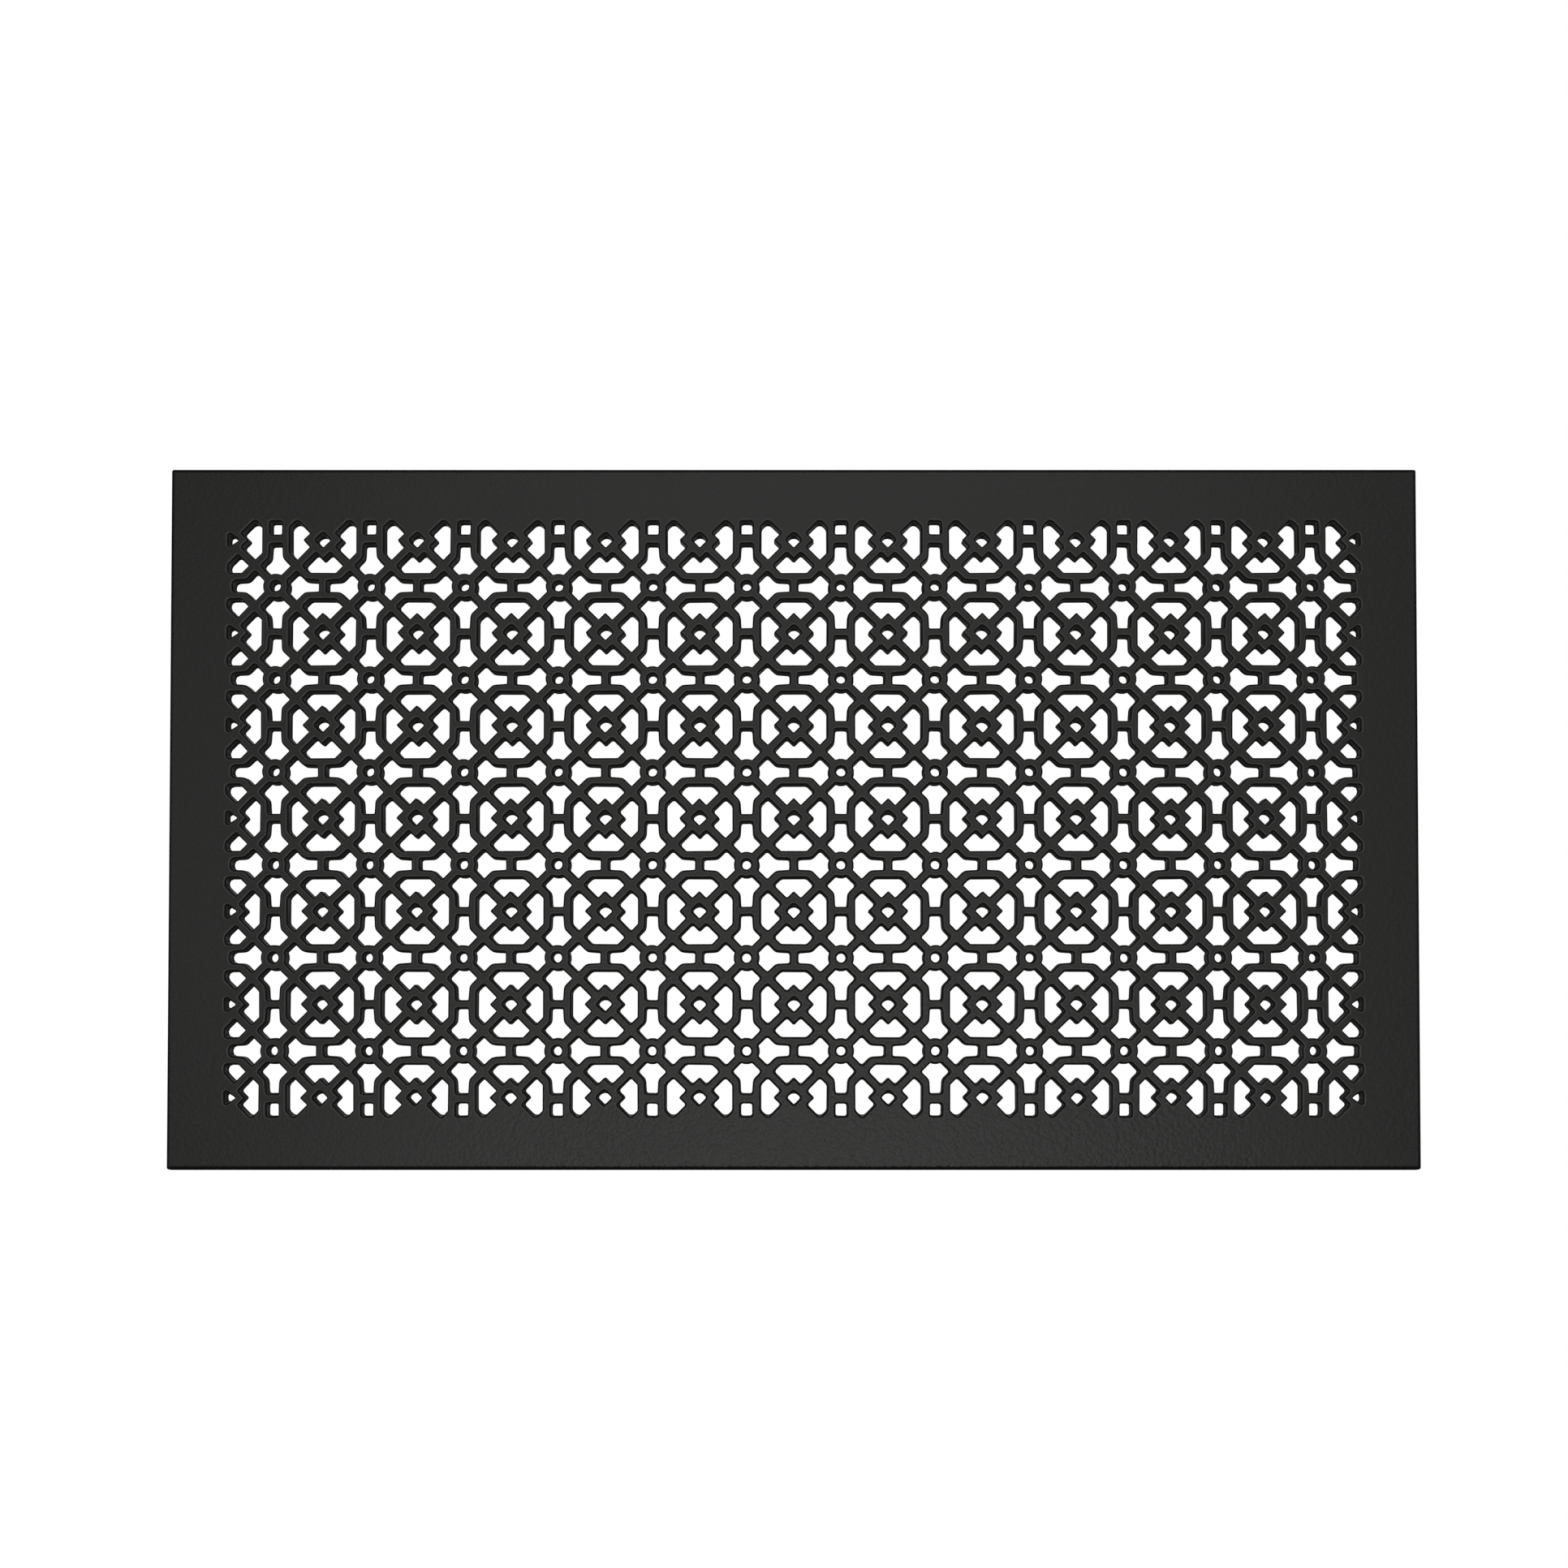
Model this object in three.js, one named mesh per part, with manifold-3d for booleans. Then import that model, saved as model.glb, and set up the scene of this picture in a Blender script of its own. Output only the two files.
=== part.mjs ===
// Return air grille: one flat iron casting, pierced with a lattice of octagon rings and diagonal bars.
//
// The grille stands upright. X runs across it, Z up it, and its front looks along -Y. Its back is the plane
// y = 0, which bears on the wall round the duct opening. The origin is on that plane, in the middle of the
// top border, where the casting is held. All lengths are in millimetres.
//
// The lattice repeats one bay. A square boss, set cornerwise in the real casting, sits at the centre of
// each octagon ring, and a round boss at each place where four rings meet. Diagonal bars run through both.
// Each ring holds four petal openings round its square boss. Each round boss has four arrow openings round
// it, which point at the link bars that join one ring to the next.

import * as THREE from "three";
import Module from "manifold-3d";
import { mergeVertices } from "three/addons/utils/BufferGeometryUtils.js";

// The plate
const plateWidth = 812.8;
const plateHeight = 457.2;
const plateThickness = 7.94;
const cornerRadius = 2;
const frontEdgeRadius = 1.6;

// The plain border is never narrower than this, at the sides and at the top and bottom
const leastSideBorder = 38;
const leastEndBorder = 34;

// The lattice: distance from one ring to the next
const pitchAcross = 61.3;
const pitchUp = 60.5;

// The rings, measured across their flats, and the bars
const ringAcross = 54.3;
const ringBar = 6;
const linkBar = 6.1;
const diagonalBar = 6.3;

// The bosses, measured across their flats, with the fillets round the round one
const squareBoss = 19.2;
const roundBoss = 23.6;

// Half the length of each petal's outer side, and half the width of each arrow
const petalReach = 12.2;
const arrowReach = 8.2;

// How far each cutter passes the plate's faces
const cutClearance = 1;

// Each side border ends on the centre line of a column of half rings, so the bays fill the field across.
// The end rows keep their side petals, which reach this far above and below the row.
const bays = Math.floor((plateWidth - 2 * leastSideBorder) / pitchAcross);
const fieldHeight = plateHeight - 2 * leastEndBorder - 2 * petalReach;
const ringRows = Math.floor(fieldHeight / pitchUp) + 1;
const endBorder = (plateHeight - (ringRows - 1) * pitchUp) / 2 - petalReach;

const wasm = await Module();
wasm.setup();

// Turns a closed three.js geometry into a solid that can be cut
function toSolid(geometry) {
  const bare = geometry.clone();
  bare.deleteAttribute("normal");
  bare.deleteAttribute("uv");
  const merged = mergeVertices(bare);
  return new wasm.Manifold(
    new wasm.Mesh({
      numProp: 3,
      vertProperties: new Float32Array(merged.attributes.position.array),
      triVerts: new Uint32Array(merged.index.array),
    }),
  );
}

// Turns a cut solid back into a three.js geometry
function toGeometry(solid) {
  const mesh = solid.getMesh();
  const geometry = new THREE.BufferGeometry();
  geometry.setAttribute("position", new THREE.BufferAttribute(mesh.vertProperties, 3));
  geometry.setIndex(new THREE.BufferAttribute(mesh.triVerts, 1));
  geometry.computeVertexNormals();
  return geometry;
}

// The plate's outline, drawn in by inset all round, with each corner taken off by one facet
function plateOutline(inset) {
  const x = plateWidth / 2 - inset;
  const y = plateHeight / 2 - inset;
  const facet = cornerRadius;
  return [
    new THREE.Vector2(x - facet, -y),
    new THREE.Vector2(x, -y + facet),
    new THREE.Vector2(x, y - facet),
    new THREE.Vector2(x - facet, y),
    new THREE.Vector2(-x + facet, y),
    new THREE.Vector2(-x, y - facet),
    new THREE.Vector2(-x, -y + facet),
    new THREE.Vector2(-x + facet, -y),
  ];
}

// A closed solid through outlines of equal length at rising heights, with a flat cap at each end
function stackOutlines(outlines, heights) {
  const positions = [];
  const count = outlines[0].length;
  outlines.forEach((outline, level) => {
    for (const point of outline) {
      positions.push(point.x, point.y, heights[level]);
    }
  });
  const index = [];
  for (let level = 0; level + 1 < outlines.length; level += 1) {
    for (let i = 0; i < count; i += 1) {
      const next = (i + 1) % count;
      const low = level * count;
      const high = low + count;
      index.push(low + i, low + next, high + next);
      index.push(low + i, high + next, high + i);
    }
  }
  const top = (outlines.length - 1) * count;
  for (const [a, b, c] of THREE.ShapeUtils.triangulateShape(outlines[0], [])) {
    index.push(c, b, a);
    index.push(top + a, top + b, top + c);
  }
  const geometry = new THREE.BufferGeometry();
  geometry.setAttribute("position", new THREE.Float32BufferAttribute(positions, 3));
  geometry.setIndex(index);
  return geometry;
}

// The blank has a sharp back edge, and its front edge is eased all round
function plateBlank() {
  const outlines = [plateOutline(0), plateOutline(0), plateOutline(frontEdgeRadius)];
  return stackOutlines(outlines, [0, plateThickness - frontEdgeRadius, plateThickness]);
}

// An opening drawn beside the centre (x, y) of its boss, on the side given by angle. The outline's first
// coordinate runs away from the boss, and its second runs along the boss's side.
function openingCutter(outline, x, y, angle) {
  const centre = new THREE.Vector2(0, 0);
  const place = new THREE.Vector2(x, y);
  const points = outline.map(([away, along]) =>
    new THREE.Vector2(away, along).rotateAround(centre, angle).add(place),
  );
  const cutter = new THREE.ExtrudeGeometry(new THREE.Shape(points), {
    depth: plateThickness + 2 * cutClearance,
    bevelEnabled: false,
  });
  return cutter.translate(0, 0, -cutClearance);
}

// A petal starts at the flat of the square boss, between two diagonal bars, and widens to the ring's bar
function petalOutline() {
  const start = squareBoss / 2;
  const startHalf = start - diagonalBar / Math.SQRT2;
  const end = ringAcross / 2 - ringBar;
  return [
    [start, -startHalf],
    [end, -petalReach],
    [end, petalReach],
    [start, startHalf],
  ];
}

// An arrow starts at the flat of the round boss and narrows to a point at the link bar
function arrowOutline(pitch) {
  const start = roundBoss / 2;
  const tip = (pitch - linkBar) / 2;
  return [
    [start, -arrowReach],
    [tip, 0],
    [start, arrowReach],
  ];
}

const quarterTurn = Math.PI / 2;

// Petals round every square boss. The half rings at the sides keep only the petal that looks inwards, and
// the end rows have no petal on the border's side.
function petalCutters() {
  const cutters = [];
  for (let row = 0; row < ringRows; row += 1) {
    const y = (row - (ringRows - 1) / 2) * pitchUp;
    for (let column = 0; column <= bays; column += 1) {
      const x = (column - bays / 2) * pitchAcross;
      const whole = column > 0 && column < bays;
      const present = [column < bays, whole && row < ringRows - 1, column > 0, whole && row > 0];
      present.forEach((there, side) => {
        if (there) {
          cutters.push(openingCutter(petalOutline(), x, y, side * quarterTurn));
        }
      });
    }
  }
  return cutters;
}

// Four arrows round every round boss
function arrowCutters() {
  const cutters = [];
  for (let row = 0; row + 1 < ringRows; row += 1) {
    const y = (row + 1 - ringRows / 2) * pitchUp;
    for (let column = 0; column < bays; column += 1) {
      const x = (column + 0.5 - bays / 2) * pitchAcross;
      for (let side = 0; side < 4; side += 1) {
        const pitch = side % 2 === 0 ? pitchAcross : pitchUp;
        cutters.push(openingCutter(arrowOutline(pitch), x, y, side * quarterTurn));
      }
    }
  }
  return cutters;
}

function grilleCasting() {
  const cutters = [...petalCutters(), ...arrowCutters()].map(toSolid);
  const openings = wasm.Manifold.union(cutters);
  const casting = toSolid(plateBlank()).subtract(openings);
  const blackIron = new THREE.MeshStandardMaterial({
    color: 0x2b2b29,
    roughness: 0.62,
    metalness: 0.3,
  });
  const mesh = new THREE.Mesh(toGeometry(casting), blackIron);
  mesh.name = "grille_casting";
  return mesh;
}

// The casting is drawn lying on its back and then stood up, with the middle of its top border's back face
// at the origin
const casting = grilleCasting();
casting.rotation.x = quarterTurn;
casting.position.z = endBorder / 2 - plateHeight / 2;

const group = new THREE.Group();
group.add(casting);

export default group;
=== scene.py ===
import math

import bpy
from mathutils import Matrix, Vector


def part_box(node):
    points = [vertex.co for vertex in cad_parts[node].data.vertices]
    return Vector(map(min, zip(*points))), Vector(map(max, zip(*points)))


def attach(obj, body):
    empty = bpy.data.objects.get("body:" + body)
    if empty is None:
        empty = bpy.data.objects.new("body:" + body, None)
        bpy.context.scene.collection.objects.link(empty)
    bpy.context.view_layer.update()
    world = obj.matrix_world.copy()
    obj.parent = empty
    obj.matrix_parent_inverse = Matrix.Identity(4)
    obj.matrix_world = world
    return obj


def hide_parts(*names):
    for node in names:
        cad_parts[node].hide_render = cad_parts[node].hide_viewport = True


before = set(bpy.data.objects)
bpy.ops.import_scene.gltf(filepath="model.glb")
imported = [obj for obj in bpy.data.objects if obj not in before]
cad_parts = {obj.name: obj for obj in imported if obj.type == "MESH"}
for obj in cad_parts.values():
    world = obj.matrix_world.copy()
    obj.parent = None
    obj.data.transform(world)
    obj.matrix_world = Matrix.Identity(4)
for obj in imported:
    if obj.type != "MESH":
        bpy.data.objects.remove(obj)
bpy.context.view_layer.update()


# The casting
# The grille is one flat plate of grey iron, cast in sand and coated black. The pattern was drawn out of the
# sand from the back, so every opening is a little wider in front, and all the front edges are rounded over.

casting_low, casting_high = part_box("grille_casting")
plate_centre = (casting_low + casting_high) / 2
plate_width = casting_high.x - casting_low.x
plate_height = casting_high.z - casting_low.z
plate_thickness = casting_high.y - casting_low.y
plate_corner_radius = 0.002

pitch_across = 0.0613
pitch_up = 0.0605
least_side_border = 0.038
least_end_border = 0.034

ring_across = 0.0543
ring_bar = 0.006
ring_corner = 0.02935
link_bar = 0.0061
diagonal_bar = 0.0063
square_boss = 0.0135
square_bore = 0.00445
round_boss = 0.0086
round_bore = 0.00285
round_bore_sides = 16
side_boss = 0.0164
side_bore_reach = 0.0062
side_bore_half = 0.0041
ring_outer_excess = 0.0007
slot_taper = 0.0005
end_square_start = 0.00405
end_square_reach = 0.01165

# Radii of the openings' corners, at the back and in front
ring_radii = (0.0022, 0.0009)
wide_radii = (0.0016, 0.0005)
border_wide_radii = (0.0034, 0.0018)
lobe_radii = (0.0014, 0.0004)
boss_tip_radii = (0.0012, 0.0008)
link_radii = (0.0012, 0.0006)
left_link_radii = (0.0026, 0.002)
flare_radii = (0.0045, 0.0045)
arrow_wide_radii = (0.0014, 0.0005)
boss_arc_radii = (0.0005, 0.0005)
boss_arc_steps = 3
square_bore_side_radii = (0.0013, 0.0008)
square_bore_top_radii = (0.0042, 0.0014)
square_bore_low_radii = (0.0008, 0.0006)
side_bore_radii = (0.0017, 0.0009)
side_bore_tip_radii = (0.0015, 0.0006)
side_boss_radii = (0.0024, 0.001)
side_lobe_radii = (0.0015, 0.0005)
side_wide_radii = (0.0022, 0.0005)
side_ring_radii = (0.002, 0.0009)
side_end_radii = (0.0026, 0.0016)
end_square_radii = (0.0013, 0.0009)

# The front edges of the openings: how far each step of the rounding lies out from the back edge, and how far
# it lies below the front. The outer edge has a wider rounding, of one radius.
draft = 0.00025
opening_edge = [(draft, 0.0013), (0.00055, 0.0008), (0.001, 0.0004), (0.0014, 0.00012), (0.002, 0)]
outer_draft = 0.0006
outer_easing = 0.003
outer_easing_angles = [0, 15, 30, 45, 60, 75, 90]

# How far each band of an edge, from the back, has the painted light and shade of a wall, the painted
# highlight of a shoulder or the painted shade of the outer rim
opening_marks = {"inner_wall": [1, 0.03, 0.03, 0.03, 0], "shoulder": [0, 0, 0, 0, 1]}
# The outer rim's bands are painted near black from the back up into its rounding: painted shade.
rim_painted_shade_marks = [1, 1, 1, 1, 0.5, 0, 0]

# A corner of more than the wide radius has finer steps
wide_radius = 0.003
turn_per_step = math.radians(46)
wide_turn_per_step = math.radians(23)
sharpest_radius = 0.00008

# How far the sand of the mould has moved each opening's walls
sand_shift = 0.0008
sand_shift_detail = 60
sand_seed = 7

weld_distance = 2e-6

# What follows from the sizes
quarter = math.pi / 2
ring_half = ring_across / 2 - ring_bar
bar_edge = diagonal_bar / math.sqrt(2)
slot_across = (pitch_across - ring_across) / 2
slot_up = (pitch_up - ring_across) / 2
ring_outer_corner = ring_corner + ring_bar * math.sqrt(2) + ring_outer_excess
bays = math.floor((plate_width - 2 * least_side_border) / pitch_across)
petal_reach = (ring_corner - bar_edge) / 2
ring_rows = math.floor((plate_height - 2 * least_end_border - 2 * petal_reach) / pitch_up) + 1


def eased_outline(corners, offset, rise):
    """Points round a closed outline, moved out by offset. Its corners run counter-clockwise, each one
    (x, y, radius at the back, radius in front), and rise goes from 0 at the back to 1 in front."""
    points = []
    for before, here, after in zip([corners[-1], *corners[:-1]], corners, [*corners[1:], corners[0]]):
        corner = Vector(here[:2])
        arriving = (corner - Vector(before[:2])).normalized()
        leaving = (Vector(after[:2]) - corner).normalized()
        turn = math.atan2(arriving.cross(leaving), arriving.dot(leaving))
        out_arriving = Vector((arriving.y, -arriving.x))
        out_leaving = Vector((leaving.y, -leaving.x))
        mitre = (out_arriving + out_leaving) / (1 + out_arriving.dot(out_leaving))
        moved = corner + mitre * offset
        if here[2] == 0:
            points.append(moved)
            continue
        side = math.copysign(1, turn)
        rounding = here[2] + (here[3] - here[2]) * rise
        radius = max(rounding + side * (offset - draft * rise), sharpest_radius)
        start = moved - arriving * radius * math.tan(abs(turn) / 2)
        centre = start - out_arriving * side * radius
        widest_turn = wide_turn_per_step if here[2] > wide_radius else turn_per_step
        steps = max(1, round(abs(turn) / widest_turn))
        for step in range(steps + 1):
            angle = turn * step / steps
            spoke = start - centre
            points.append(centre + Vector((
                spoke.x * math.cos(angle) - spoke.y * math.sin(angle),
                spoke.x * math.sin(angle) + spoke.y * math.cos(angle),
            )))
    return points


def wall_object(name, corners, levels, facing_in, marks):
    """A ribbon of wall through an outline, from the back face to the front one, as a hidden object. Each
    level is (offset, height, rise). Each mark is an attribute for the coat, with its value on every band
    between two levels."""
    rings = [(eased_outline(corners, offset, rise), height) for offset, height, rise in levels]
    vertices = [(point.x, point.y, height) for ring, height in rings for point in ring]
    count = len(rings[0][0])
    faces = []
    for low in range(0, len(vertices) - count, count):
        for i in range(count):
            after = (i + 1) % count
            face = [low + i, low + after, low + after + count, low + i + count]
            faces.append(face[::-1] if facing_in else face)
    mesh = bpy.data.meshes.new(name)
    mesh.from_pydata(vertices, [], faces)
    for mark, bands in marks.items():
        attribute = mesh.attributes.new(mark, "FLOAT", "FACE")
        attribute.data.foreach_set("value", [float(value) for value in bands for _ in range(count)])
    mesh.shade_smooth()
    return bpy.data.objects.new(name, mesh)


def petal_corners(upper_radii=wide_radii):
    """Petal between two diagonal bars, with the tip of the square boss standing into it. The radii of its
    upper wide corner are given, as it is rounder beside a border."""
    outer = ring_corner - ring_half
    wide = ((ring_corner + bar_edge) / 2, (ring_corner - bar_edge) / 2)
    lobe = ((square_boss + bar_edge) / 2, (square_boss - bar_edge) / 2)
    return [
        (ring_half, -outer, *ring_radii),
        (ring_half, outer, *ring_radii),
        (wide[0], wide[1], *upper_radii),
        (lobe[0], lobe[1], *lobe_radii),
        (square_boss, 0, *boss_tip_radii),
        (lobe[0], -lobe[1], *lobe_radii),
        (wide[0], -wide[1], *wide_radii),
    ]


def arrow_corners(pitch, slot_half, end_radii=link_radii):
    """Slot from a link bar that flares between two rings and closes on the side of the round boss. The
    radii of its end at the link bar are given."""
    flare = (pitch_across + pitch_up) / 2 - ring_outer_corner
    wide = ((flare + bar_edge) / 2, (flare - bar_edge) / 2)
    link = (pitch - link_bar) / 2
    mouth_half = slot_half + slot_taper
    end_angle = math.acos(bar_edge / math.sqrt(2) / round_boss) - math.pi / 4
    arc = []
    for step in range(boss_arc_steps + 1):
        angle = end_angle * (1 - 2 * step / boss_arc_steps)
        radii = boss_arc_radii if step in (0, boss_arc_steps) else (0, 0)
        arc.append((round_boss * math.cos(angle), round_boss * math.sin(angle), *radii))
    return [
        (link, -slot_half, *end_radii),
        (link, slot_half, *end_radii),
        (flare - mouth_half, mouth_half, *flare_radii),
        (wide[0], wide[1], *arrow_wide_radii),
        *arc,
        (wide[0], -wide[1], *arrow_wide_radii),
        (flare - mouth_half, -mouth_half, *flare_radii),
    ]


def round_bore_corners():
    """The bore through each round boss, as a fine polygon."""
    turns = [2 * math.pi * i / round_bore_sides for i in range(round_bore_sides)]
    return [(round_bore * math.cos(turn), round_bore * math.sin(turn), 0, 0) for turn in turns]


def square_bore_corners():
    """A square bore stands on its corner, and its top corner is the roundest."""
    side = square_bore_side_radii
    return [
        (square_bore * math.cos(quarter * i), square_bore * math.sin(quarter * i), *radii)
        for i, radii in enumerate([side, square_bore_top_radii, side, square_bore_low_radii])
    ]


def side_bore_corners():
    """Half a square bore, with its flat side towards the border."""
    return [
        (0, -side_bore_half, *side_bore_radii),
        (side_bore_reach, 0, *side_bore_tip_radii),
        (0, side_bore_half, *side_bore_radii),
    ]


def side_petal_corners():
    """Half a petal, closed by the side border on the line of the half rings."""
    lobe = ((side_boss - bar_edge) / 2, (side_boss + bar_edge) / 2)
    wide = ((ring_corner - bar_edge) / 2, (ring_corner + bar_edge) / 2)
    return [
        (0, side_boss, *side_boss_radii),
        (lobe[0], lobe[1], *side_lobe_radii),
        (wide[0], wide[1], *side_wide_radii),
        (ring_corner - ring_half, ring_half, *side_ring_radii),
        (0, ring_half, *side_end_radii),
    ]


def mirrored(corners):
    """The same outline turned over, still counter-clockwise."""
    return [(x, -y, back, front) for x, y, back, front in reversed(corners)]


def end_square_corners():
    """A small square between two end rings, beside the border."""
    return [
        (end_square_start, -slot_across, *end_square_radii),
        (end_square_reach, -slot_across, *end_square_radii),
        (end_square_reach, slot_across, *end_square_radii),
        (end_square_start, slot_across, *end_square_radii),
    ]


def plate_corners():
    """The outline of the whole plate."""
    x = plate_width / 2
    y = plate_height / 2
    radius = plate_corner_radius
    return [(sx * x, sy * y, radius, radius) for sx, sy in ((-1, -1), (1, -1), (1, 1), (-1, 1))]


def opening_wall(name, corners):
    """An opening's wall leans out by the draft, then rounds over to a low shoulder in front."""
    levels = [(0, 0, 0), *((out, plate_thickness - below, 1) for out, below in opening_edge)]
    return wall_object(name, corners, levels, True, opening_marks)


petal = opening_wall("petal_wall", petal_corners())
border_corners = petal_corners(border_wide_radii)
border_petal = opening_wall("border_petal_wall", border_corners)
border_petal_mirrored = opening_wall("border_petal_mirrored_wall", mirrored(border_corners))
arrow_across = opening_wall("arrow_across_wall", arrow_corners(pitch_across, slot_up))
left_end_corners = arrow_corners(pitch_across, slot_up, left_link_radii)
arrow_left_end = opening_wall("arrow_left_end_wall", left_end_corners)
arrow_up = opening_wall("arrow_up_wall", arrow_corners(pitch_up, slot_across))
bore_round = opening_wall("round_bore_wall", round_bore_corners())
bore_square = opening_wall("square_bore_wall", square_bore_corners())
bore_side = opening_wall("side_bore_wall", side_bore_corners())
side_petal_up = opening_wall("side_petal_up_wall", side_petal_corners())
side_petal_down = opening_wall("side_petal_down_wall", mirrored(side_petal_corners()))
end_square = opening_wall("end_square_wall", end_square_corners())

outer_levels = [(0, 0, 0)]
for angle in outer_easing_angles:
    turned = math.radians(angle)
    inset = outer_draft + outer_easing * (1 - math.cos(turned))
    outer_levels.append((-inset, plate_thickness - outer_easing * (1 - math.sin(turned)), 0))
outer_wall = wall_object("outer_wall", plate_corners(), outer_levels, False, {"rim": rim_painted_shade_marks})


def add_node(tree, kind, settings=None, inputs=None):
    """A node in a geometry tree, with its settings made first and then its sockets' values or links."""
    node = tree.nodes.new(kind)
    for key, value in (settings or {}).items():
        setattr(node, key, value)
    for key, value in (inputs or {}).items():
        if isinstance(value, bpy.types.NodeSocket):
            tree.links.new(value, node.inputs[key])
        else:
            node.inputs[key].default_value = value
    return node


def new_tree(name, sockets):
    """A geometry tree with the named inputs, and its input and output nodes."""
    tree = bpy.data.node_groups.new(name, "GeometryNodeTree")
    for socket_name, socket_type in sockets:
        tree.interface.new_socket(socket_name, in_out="INPUT", socket_type=socket_type)
    tree.interface.new_socket("Geometry", in_out="OUTPUT", socket_type="NodeSocketGeometry")
    return tree, tree.nodes.new("NodeGroupInput"), tree.nodes.new("NodeGroupOutput")


def openings_in_rows_tree():
    """Repeats one opening's wall over a grid of bosses."""
    tree, given, result = new_tree("openings_in_rows", [
        ("Wall", "NodeSocketObject"),
        ("Columns", "NodeSocketInt"),
        ("Rows", "NodeSocketInt"),
        ("Width", "NodeSocketFloat"),
        ("Height", "NodeSocketFloat"),
        ("Centre", "NodeSocketVector"),
        ("Turn", "NodeSocketFloat"),
    ])
    grid = add_node(tree, "GeometryNodeMeshGrid", None, {
        "Size X": given.outputs["Width"],
        "Size Y": given.outputs["Height"],
        "Vertices X": given.outputs["Columns"],
        "Vertices Y": given.outputs["Rows"],
    })
    placed = add_node(tree, "GeometryNodeTransform", None, {
        "Geometry": grid.outputs["Mesh"],
        "Translation": given.outputs["Centre"],
    })
    wall = add_node(tree, "GeometryNodeObjectInfo", None, {"Object": given.outputs["Wall"]})
    turned = add_node(tree, "ShaderNodeCombineXYZ", None, {"Z": given.outputs["Turn"]})
    copies = add_node(tree, "GeometryNodeInstanceOnPoints", None, {
        "Points": placed.outputs["Geometry"],
        "Instance": wall.outputs["Geometry"],
        "Rotation": turned.outputs["Vector"],
    })
    tree.links.new(copies.outputs["Instances"], result.inputs["Geometry"])
    return tree


def face_fill(tree, walls, at_front, thickness):
    """Fills the plate between the openings' edges, on the front or on the back."""
    position = add_node(tree, "GeometryNodeInputPosition")
    split = add_node(tree, "ShaderNodeSeparateXYZ", None, {"Vector": position.outputs["Position"]})
    middle = add_node(tree, "ShaderNodeMath", {"operation": "MULTIPLY"}, {0: thickness, 1: 0.5})
    side = add_node(tree, "ShaderNodeMath", {"operation": "GREATER_THAN" if at_front else "LESS_THAN"}, {
        0: split.outputs["Z"],
        1: middle.outputs[0],
    })
    neighbours = add_node(tree, "GeometryNodeInputMeshEdgeNeighbors")
    open_edge = add_node(tree, "FunctionNodeCompare", {"data_type": "INT", "operation": "EQUAL"}, {
        2: neighbours.outputs["Face Count"],
        3: 1,
    })
    chosen = add_node(tree, "FunctionNodeBooleanMath", {"operation": "AND"}, {
        0: side.outputs[0],
        1: open_edge.outputs["Result"],
    })
    loops = add_node(tree, "GeometryNodeMeshToCurve", None, {
        "Mesh": walls,
        "Selection": chosen.outputs[0],
    })
    filled = add_node(tree, "GeometryNodeFillCurve", {"mode": "TRIANGLES"}, {"Curve": loops.outputs["Curve"]})
    if not at_front:
        turned = add_node(tree, "GeometryNodeFlipFaces", None, {"Mesh": filled.outputs["Mesh"]})
        return turned.outputs["Mesh"]
    height = add_node(tree, "ShaderNodeCombineXYZ", None, {"Z": thickness})
    raised = add_node(tree, "GeometryNodeTransform", None, {
        "Geometry": filled.outputs["Mesh"],
        "Translation": height.outputs["Vector"],
    })
    return raised.outputs["Geometry"]


def sand_shifted(tree, walls, given):
    """Moves the openings' walls a little sideways, as the sand moves when the mould is rammed."""
    position = add_node(tree, "GeometryNodeInputPosition")
    level = add_node(tree, "ShaderNodeVectorMath", {"operation": "MULTIPLY"}, {
        0: position.outputs["Position"],
        1: (1, 1, 0),
    })
    unevenness = add_node(tree, "ShaderNodeTexNoise", {"noise_dimensions": "4D"}, {
        "Vector": level.outputs["Vector"],
        "W": given.outputs["Sand seed"],
        "Scale": given.outputs["Sand shift detail"],
        "Detail": 1,
    })
    both_ways = add_node(tree, "ShaderNodeVectorMath", {"operation": "SUBTRACT"}, {
        0: unevenness.outputs["Color"],
        1: (0.5, 0.5, 0.5),
    })
    reach = add_node(tree, "ShaderNodeCombineXYZ", None, {
        "X": given.outputs["Sand shift"],
        "Y": given.outputs["Sand shift"],
    })
    offset = add_node(tree, "ShaderNodeVectorMath", {"operation": "MULTIPLY"}, {
        0: both_ways.outputs["Vector"],
        1: reach.outputs["Vector"],
    })
    moved = add_node(tree, "GeometryNodeSetPosition", None, {
        "Geometry": walls,
        "Offset": offset.outputs["Vector"],
    })
    return moved.outputs["Geometry"]


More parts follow.
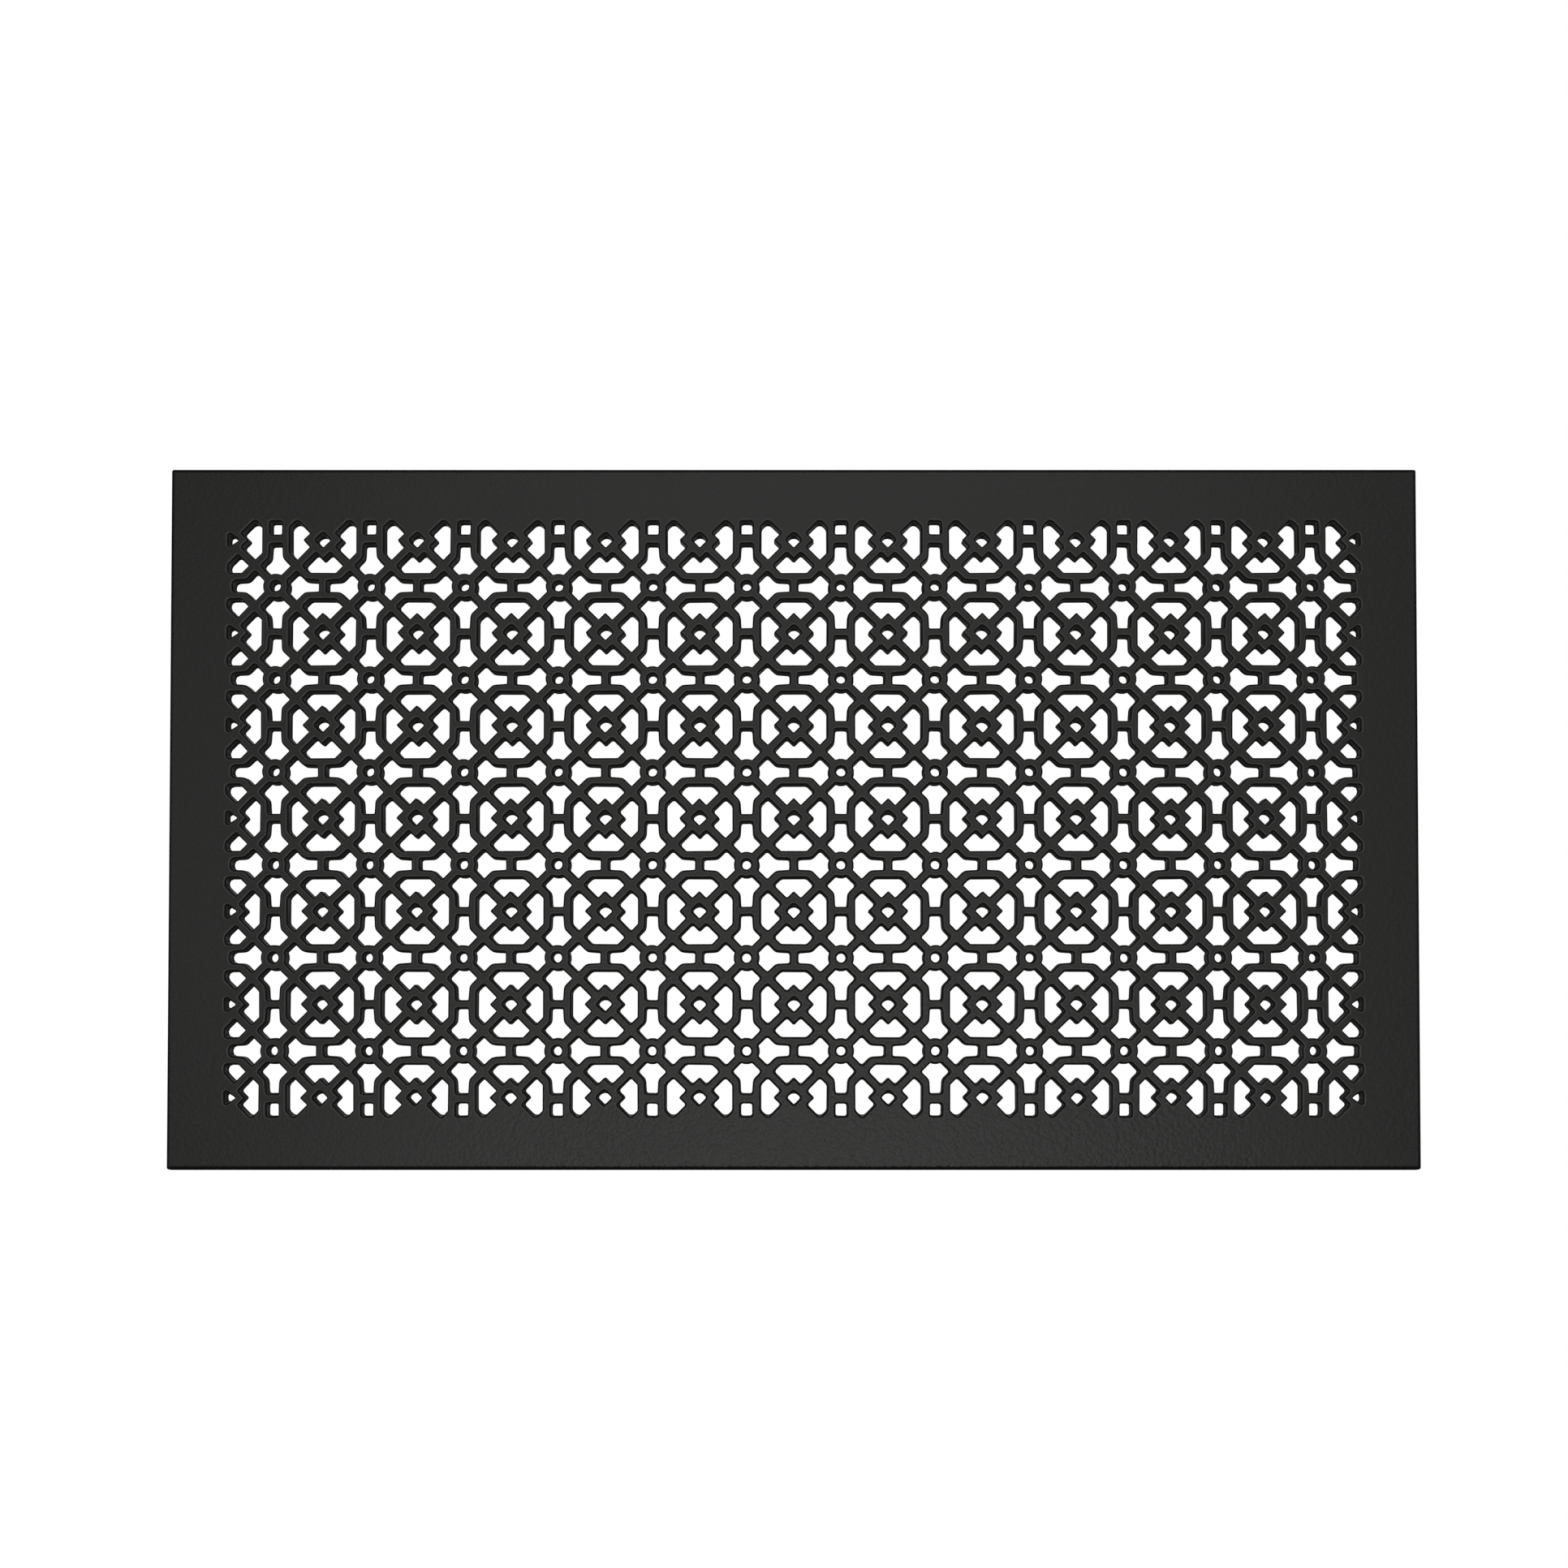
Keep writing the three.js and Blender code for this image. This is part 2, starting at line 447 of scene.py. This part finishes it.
# Where each kind of opening repeats: columns, rows, the middle of its grid and how far it is turned
half_bay = pitch_across / 2
half_row = pitch_up / 2
field_half = bays * half_bay
end_row = (ring_rows - 1) * half_row
opening_rows = [
    (petal, bays, ring_rows - 2, (-half_bay, 0), 0),
    (petal, bays, ring_rows - 2, (half_bay, 0), 2),
    (petal, bays - 1, ring_rows - 1, (0, -half_row), 1),
    (petal, bays - 1, ring_rows - 1, (0, half_row), 3),
    (border_petal, bays, 1, (-half_bay, end_row), 0),
    (border_petal_mirrored, bays, 1, (half_bay, end_row), 2),
    (border_petal_mirrored, bays, 1, (-half_bay, -end_row), 0),
    (border_petal, bays, 1, (half_bay, -end_row), 2),
    (arrow_across, bays, ring_rows - 1, (0, 0), 0),
    (arrow_across, bays - 1, ring_rows - 1, (half_bay, 0), 2),
    (arrow_left_end, 1, ring_rows - 1, (half_bay - field_half, 0), 2),
    (arrow_up, bays, ring_rows - 1, (0, 0), 1),
    (arrow_up, bays, ring_rows - 1, (0, 0), 3),
    (bore_round, bays, ring_rows - 1, (0, 0), 0),
    (bore_square, bays - 1, ring_rows, (0, 0), 0),
    (bore_side, 1, ring_rows, (-field_half, 0), 0),
    (bore_side, 1, ring_rows, (field_half, 0), 2),
    (side_petal_up, 1, ring_rows - 1, (-field_half, -half_row), 0),
    (side_petal_down, 1, ring_rows - 1, (-field_half, half_row), 0),
    (side_petal_up, 1, ring_rows - 1, (field_half, half_row), 2),
    (side_petal_down, 1, ring_rows - 1, (field_half, -half_row), 2),
    (end_square, bays, 1, (0, end_row), 1),
    (end_square, bays, 1, (0, -end_row), 3),
]


def pierced_plate_tree():
    """The whole casting: walls of all the openings and of the outer edge, between a front and a back face."""
    tree, given, result = new_tree("pierced_plate", [
        ("Outer wall", "NodeSocketObject"),
        ("Pitch across", "NodeSocketFloat"),
        ("Pitch up", "NodeSocketFloat"),
        ("Thickness", "NodeSocketFloat"),
        ("Centre", "NodeSocketVector"),
        ("Sand shift", "NodeSocketFloat"),
        ("Sand shift detail", "NodeSocketFloat"),
        ("Sand seed", "NodeSocketFloat"),
        ("Finish", "NodeSocketMaterial"),
    ])
    row_tree = openings_in_rows_tree()
    openings_walls = add_node(tree, "GeometryNodeJoinGeometry")
    for wall, columns, rows, centre, quarters in opening_rows:
        width = add_node(tree, "ShaderNodeMath", {"operation": "MULTIPLY"}, {
            0: given.outputs["Pitch across"],
            1: columns - 1,
        })
        height = add_node(tree, "ShaderNodeMath", {"operation": "MULTIPLY"}, {
            0: given.outputs["Pitch up"],
            1: rows - 1,
        })
        openings = add_node(tree, "GeometryNodeGroup", {"node_tree": row_tree}, {
            "Wall": wall,
            "Columns": columns,
            "Rows": rows,
            "Width": width.outputs[0],
            "Height": height.outputs[0],
            "Centre": (*centre, 0),
            "Turn": quarters * quarter,
        })
        tree.links.new(openings.outputs["Geometry"], openings_walls.inputs["Geometry"])
    solid_walls = add_node(tree, "GeometryNodeRealizeInstances", None, {
        "Geometry": openings_walls.outputs[0],
    })
    rammed = sand_shifted(tree, solid_walls.outputs["Geometry"], given)
    edge = add_node(tree, "GeometryNodeObjectInfo", None, {"Object": given.outputs["Outer wall"]})
    walls = add_node(tree, "GeometryNodeJoinGeometry")
    tree.links.new(rammed, walls.inputs["Geometry"])
    tree.links.new(edge.outputs["Geometry"], walls.inputs["Geometry"])
    ribbon = walls.outputs[0]
    plate = add_node(tree, "GeometryNodeJoinGeometry")
    tree.links.new(ribbon, plate.inputs["Geometry"])
    for at_front in (True, False):
        face = face_fill(tree, ribbon, at_front, given.outputs["Thickness"])
        tree.links.new(face, plate.inputs["Geometry"])
    closed = add_node(tree, "GeometryNodeMergeByDistance", None, {
        "Geometry": plate.outputs[0],
        "Distance": weld_distance,
    })
    stood_up = add_node(tree, "GeometryNodeTransform", None, {
        "Geometry": closed.outputs["Geometry"],
        "Translation": given.outputs["Centre"],
        "Rotation": (quarter, 0, 0),
    })
    whole = add_node(tree, "GeometryNodeRealizeInstances", None, {"Geometry": stood_up.outputs["Geometry"]})
    finished = add_node(tree, "GeometryNodeSetMaterial", None, {
        "Geometry": whole.outputs["Geometry"],
        "Material": given.outputs["Finish"],
    })
    tree.links.new(finished.outputs["Geometry"], result.inputs["Geometry"])
    return tree


class Signal:
    """A value in a material's nodes that Python's operators can work on."""

    def __init__(self, surface, socket):
        self.surface = surface
        self.socket = socket

    def maths(self, operation, first, second):
        return self.surface.node("ShaderNodeMath", {"operation": operation}, {0: first, 1: second})

    def __add__(self, other):
        return self.maths("ADD", self, other)

    def __radd__(self, other):
        return self.maths("ADD", other, self)

    def __sub__(self, other):
        return self.maths("SUBTRACT", self, other)

    def __rsub__(self, other):
        return self.maths("SUBTRACT", other, self)

    def __mul__(self, other):
        return self.maths("MULTIPLY", self, other)

    def __rmul__(self, other):
        return self.maths("MULTIPLY", other, self)


# A Mix node's sockets for colours come after its sockets for numbers and vectors
mix_first_colour = 6
mix_second_colour = 7
mix_result_colour = 2


class Surface:
    """The nodes of a material or of a world, under construction, and the shader that they end in."""

    def __init__(self, owner, shader):
        owner.use_nodes = True
        self.tree = owner.node_tree
        self.shader = self.tree.nodes[shader]

    def node(self, kind, settings=None, inputs=None, output=0):
        """Any node, from its settings and its sockets' values or links, as the signal of one output."""
        made = self.tree.nodes.new(kind)
        for key, value in (settings or {}).items():
            setattr(made, key, value)
        for key, value in (inputs or {}).items():
            self.feed(made.inputs[key], value)
        return Signal(self, made.outputs[output])

    def blend(self, factor, first, second):
        """A colour between two, from the first at 0 to the second at 1."""
        return self.node("ShaderNodeMix", {"data_type": "RGBA"}, {
            "Factor": factor,
            mix_first_colour: first,
            mix_second_colour: second,
        }, mix_result_colour)

    def feed(self, socket, value):
        if isinstance(value, Signal):
            self.tree.links.new(value.socket, socket)
        else:
            socket.default_value = value

    def set(self, **values):
        """Feeds the shader's own sockets, whose names have their spaces as underscores."""
        for name, value in values.items():
            self.feed(self.shader.inputs[name.replace("_", " ")], value)


# Black powder coat over sand-cast iron. The openings' walls and shoulders are painted paler, as painted light
# and painted highlight, and the outer rim and the walls' back edges are painted near black, as painted shade.
coat_dark = (0.008, 0.008, 0.0074, 1)
coat_light = (0.0135, 0.0135, 0.0124, 1)
# Paler, painted highlight on the openings' shoulders
shoulder_painted_highlight = (0.065, 0.065, 0.063, 1)
# Pale, painted light on the openings' walls
wall_painted_light = (0.12, 0.12, 0.117, 1)
# Near black, painted shade: on the outer rim, and on the openings' walls near their back edges.
painted_shade_black = (0.002, 0.002, 0.002, 1)
shoulder_highlight_share = 0.8
coat_roughness = 0.34
roughness_spread = 0.12
coat_ior = 1.5

# A wall's colour goes from black near its back edge to pale near its front one: painted shade deep in the
# opening, painted light near the front
painted_shade_until = casting_high.y - 0.001
painted_light_from = casting_low.y + 0.0015

# The unevenness of the coat and of the iron under it: about how many times a metre each kind repeats
cloud_scale = 9
blotch_scale = 130
grain_scale = 420
peel_scale = 1700

# The sand's grain is coarser down at the middle of the bottom border
coarse_middle = Vector((plate_centre.x + 0.04, casting_low.y, casting_low.z - 0.1))
coarse_reach = 0.32
coarse_core = 0.2
least_coarseness = 0.25
most_coarseness = 0.9
mottle_strength = 4
grain_depth = 0.0008
grain_strength = 0.9
peel_depth = 0.0001
peel_strength = 0.2


def black_coat(material):
    """Satin black coat with fine orange peel, over the sand's grain, with painted light, shade and highlight
    on the edges.
    """
    surface = Surface(material, "Principled BSDF")
    place = surface.node("ShaderNodeTexCoord", output="Object")

    def noise(scale, detail):
        return surface.node("ShaderNodeTexNoise", None, {"Vector": place, "Scale": scale, "Detail": detail})

    def mark(name):
        return surface.node("ShaderNodeAttribute", {"attribute_name": name}, output="Fac")

    clouds = noise(cloud_scale, 3)
    blotches = noise(blotch_scale, 3)
    grain = noise(grain_scale, 2)
    peel = noise(peel_scale, 2)
    from_middle = surface.node("ShaderNodeVectorMath", {"operation": "DISTANCE"}, {
        0: place,
        1: coarse_middle,
    }, "Value")
    coarseness = surface.node("ShaderNodeMapRange", None, {
        "Value": from_middle,
        "From Min": coarse_reach,
        "From Max": coarse_core,
        "To Min": least_coarseness,
        "To Max": most_coarseness,
    })
    mottle = (grain - 0.5) * coarseness * mottle_strength
    tone = clouds * 0.5 + blotches * 0.4 + grain * 0.9 - 0.4 + mottle
    face_colour = surface.blend(tone, coat_dark, coat_light)
    # The outer rim is painted near black, as painted shade.
    front_colour = surface.blend(mark("rim"), face_colour, painted_shade_black)
    depth = surface.node("ShaderNodeSeparateXYZ", None, {"Vector": place}, "Y")
    # The walls are painted pale near the front and black at the back edge: painted light and painted shade.
    wall_shade_to_light = surface.node("ShaderNodeMapRange", None, {
        "Value": depth,
        "From Min": painted_shade_until,
        "From Max": painted_light_from,
    })
    wall_painted_light_and_shade = surface.blend(wall_shade_to_light, painted_shade_black, wall_painted_light)
    plain_colour = surface.blend(mark("inner_wall"), front_colour, wall_painted_light_and_shade)
    # The shoulders are painted paler, as a painted highlight.
    colour = surface.blend(mark("shoulder") * shoulder_highlight_share, plain_colour, shoulder_painted_highlight)
    bump_sand = surface.node("ShaderNodeBump", None, {
        "Strength": grain_strength,
        "Distance": grain_depth,
        "Height": (grain * 0.7 + blotches * 0.3) * coarseness,
    })
    bump = surface.node("ShaderNodeBump", None, {
        "Strength": peel_strength,
        "Distance": peel_depth,
        "Height": peel,
        "Normal": bump_sand,
    })
    surface.set(
        Base_Color=colour,
        Roughness=coat_roughness + grain * roughness_spread,
        Metallic=0.0,
        IOR=coat_ior,
        Normal=bump,
    )


black_iron = bpy.data.materials.new("black_iron")
black_coat(black_iron)

blank = bpy.data.objects.new("grille_blank", bpy.data.meshes.new("grille_blank"))
bpy.context.scene.collection.objects.link(blank)
piercing = blank.modifiers.new("pierced_plate", "NODES")
piercing.node_group = pierced_plate_tree()
piercing_values = {
    "Outer wall": outer_wall,
    "Pitch across": pitch_across,
    "Pitch up": pitch_up,
    "Thickness": plate_thickness,
    "Centre": (plate_centre.x, casting_high.y, plate_centre.z),
    "Sand shift": sand_shift,
    "Sand shift detail": sand_shift_detail,
    "Sand seed": sand_seed,
    "Finish": black_iron,
}
for item in piercing.node_group.interface.items_tree:
    if item.in_out == "INPUT":
        piercing[item.identifier] = piercing_values[item.name]
depsgraph = bpy.context.evaluated_depsgraph_get()
grille_mesh = bpy.data.meshes.new_from_object(blank.evaluated_get(depsgraph), depsgraph=depsgraph)
blank.modifiers.remove(piercing)
bpy.data.objects.remove(blank)

# The eased edges run out smoothly into the flat front, so every corner on it shades as the front does
front_level = casting_low.y + weld_distance / 2
shading = [tuple(corner.vector) for corner in grille_mesh.corner_normals]
for i, loop in enumerate(grille_mesh.loops):
    if grille_mesh.vertices[loop.vertex_index].co.y < front_level:
        shading[i] = (0, -1, 0)
grille_mesh.normals_split_custom_set(shading)

grille = bpy.data.objects.new("return_air_grille", grille_mesh)
bpy.context.scene.collection.objects.link(grille)

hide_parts("grille_casting")
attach(grille, "root")


# The studio
# The grille hangs over a pale floor in front of plain white. Five soft panels light its face from the
# camera's side, and three dimmer ones its back. The white is for the camera alone, so that the openings'
# walls stay as dark as in a photo studio.

floor_drop = 0.3
floor_half = 8.0
floor_level = casting_low.z - floor_drop
floor_mesh = bpy.data.meshes.new("floor")
floor_mesh.from_pydata(
    [(sx * floor_half, sy * floor_half, floor_level) for sx, sy in ((-1, -1), (1, -1), (1, 1), (-1, 1))],
    [],
    [(0, 1, 2, 3)],
)
floor = bpy.data.objects.new("floor", floor_mesh)
bpy.context.scene.collection.objects.link(floor)
floor.visible_diffuse = False
floor.visible_glossy = False
floor.visible_shadow = False

white = (1, 1, 1, 1)
floor_paint = bpy.data.materials.new("floor_paint")
Surface(floor_paint, "Principled BSDF").set(
    Base_Color=(0, 0, 0, 1),
    Specular_IOR_Level=0.0,
    Emission_Color=white,
    Emission_Strength=1.0,
)
floor_mesh.materials.append(floor_paint)

room_glow = (0.03, 0.03, 0.03, 1)
backdrop = bpy.data.worlds.new("backdrop")
bpy.context.scene.world = backdrop
room = Surface(backdrop, "Background")
seen_straight = room.node("ShaderNodeLightPath", output="Is Camera Ray")
room.set(Color=room.blend(seen_straight, room_glow, white))

lamp_colour = (1, 1, 0.985)
front_distance = -2.3
back_distance = 1.9


def soft_light(name, place, size, brightness):
    """A lamp of the given width and height at place, turned towards the middle of the grille."""
    lamp = bpy.data.lights.new(name, "AREA")
    lamp.shape = "RECTANGLE"
    lamp.size = size[0]
    lamp.size_y = size[1]
    lamp.energy = brightness * math.pi * size[0] * size[1]
    lamp.color = lamp_colour
    holder = bpy.data.objects.new(name, lamp)
    bpy.context.scene.collection.objects.link(holder)
    holder.location = place
    holder.rotation_euler = (plate_centre - Vector(place)).to_track_quat("-Z", "Y").to_euler()


# Each panel's name, place, size and brightness
soft_light("front_panel", (-0.05, front_distance, 0.15), (2.9, 1.4), 0.6)
soft_light("low_panel", (0.05, front_distance, -0.86), (1.75, 0.6), 2.8)
soft_light("high_panel", (0.1, front_distance, 1.15), (2.0, 0.5), 1.85)
soft_light("left_panel", (-2.4, front_distance, -0.1), (0.8, 1.2), 1.5)
soft_light("right_panel", (2.5, front_distance, 0.2), (0.7, 1.6), 0.9)
soft_light("back_panel", (0.0, 2.0, 2.4), (3.0, 1.4), 0.9)
soft_light("back_left_panel", (-2.3, back_distance, -0.6), (1.4, 1.4), 0.6)
soft_light("back_right_panel", (2.3, back_distance, -0.6), (1.4, 1.4), 0.6)


# The camera
# The photograph was taken from below the grille's middle, looking up a little, so the upper walls of the
# openings show. The frame is square, and the grille's middle sits a little right of its middle and below it.

photo_side = 1932
photo_focal = 2095.5
photo_axis = (983.8, 1239.3)
camera_distance = 1.1
camera_right = 0.003
camera_below = 0.145
camera_tilt = math.radians(1.2)
sensor_width = 36

camera_data = bpy.data.cameras.new("camera")
camera = bpy.data.objects.new("camera", camera_data)
bpy.context.scene.collection.objects.link(camera)
camera.location = (
    plate_centre.x + camera_right,
    casting_low.y - camera_distance,
    plate_centre.z - camera_below,
)
camera.rotation_euler = (quarter + camera_tilt, 0, 0)
camera_data.sensor_width = sensor_width
camera_data.lens = sensor_width * photo_focal / photo_side
camera_data.shift_x = 0.5 - photo_axis[0] / photo_side
camera_data.shift_y = photo_axis[1] / photo_side - 0.5
bpy.context.scene.camera = camera

bpy.context.scene.view_settings.view_transform = "Standard"
